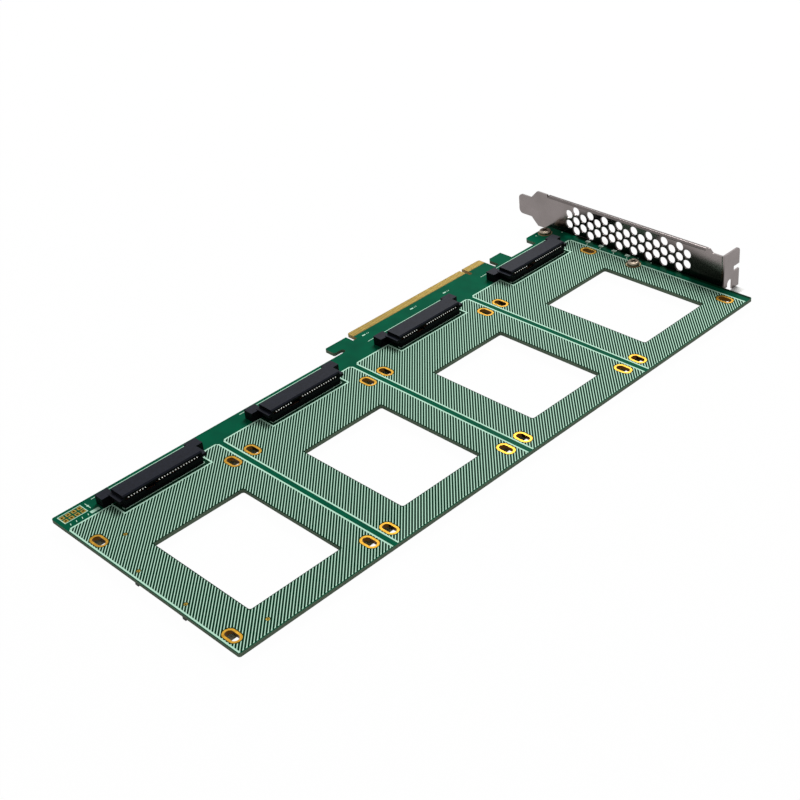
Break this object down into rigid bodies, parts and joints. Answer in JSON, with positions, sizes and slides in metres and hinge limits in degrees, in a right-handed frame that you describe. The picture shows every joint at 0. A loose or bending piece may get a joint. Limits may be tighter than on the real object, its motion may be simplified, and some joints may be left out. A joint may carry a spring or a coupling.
{
  "type": "nvme adapter card",
  "caption": "Long flat adapter card with a gold contact edge, hatched drive bays round open windows, low black receptacles and a vented slot bracket",
  "frame": {"origin": "middle of the key notch at the tip of the contact tongue, on the component face", "axes": "+X along the card towards the slot bracket, +Y out of the contact edge, +Z off the component face"},
  "size_m": [0.3011, 0.1357, 0.021],
  "materials": {
    "solder_mask": "green solder mask on glass-epoxy laminate, semi-gloss",
    "white_ink": "screen-printed white ink over green, matt",
    "contact_gold": "hard gold plate over nickel",
    "pad_gold": "immersion gold on copper",
    "receptacle_black": "moulded black glass-filled polymer, satin",
    "bracket_steel": "nickel-plated sheet steel, satin",
    "screw_steel": "nickel-plated machine screw",
    "lamp_lens": "clear milky lens on a white base",
    "black_epoxy": "moulded black epoxy package",
    "capacitor_body": "ceramic capacitor body with tinned ends"
  },
  "bodies": {
    "root": {"board": "solder_mask", "board_print": "white_ink", "bracket": "bracket_steel", "bracket_screws": "screw_steel", "bulk_capacitors": "capacitor_body", "clock_buffer": "black_epoxy", "drive_print_1": "white_ink", "drive_print_2": "white_ink", "drive_print_3": "white_ink", "drive_print_4": "white_ink", "edge_contacts_back": "contact_gold", "edge_contacts_front": "contact_gold", "edge_parts": "black_epoxy", "header_pads": "pad_gold", "plated_slots_1": "pad_gold", "plated_slots_2": "pad_gold", "plated_slots_3": "pad_gold", "plated_slots_4": "pad_gold", "receptacle_contacts_1": "contact_gold", "receptacle_contacts_2": "contact_gold", "receptacle_contacts_3": "contact_gold", "receptacle_contacts_4": "contact_gold", "receptacle_housing_1": "receptacle_black", "receptacle_housing_2": "receptacle_black", "receptacle_housing_3": "receptacle_black", "receptacle_housing_4": "receptacle_black", "screw_pads": "pad_gold", "status_lamps": "lamp_lens", "test_pads": "pad_gold"}
  },
  "joints": []
}
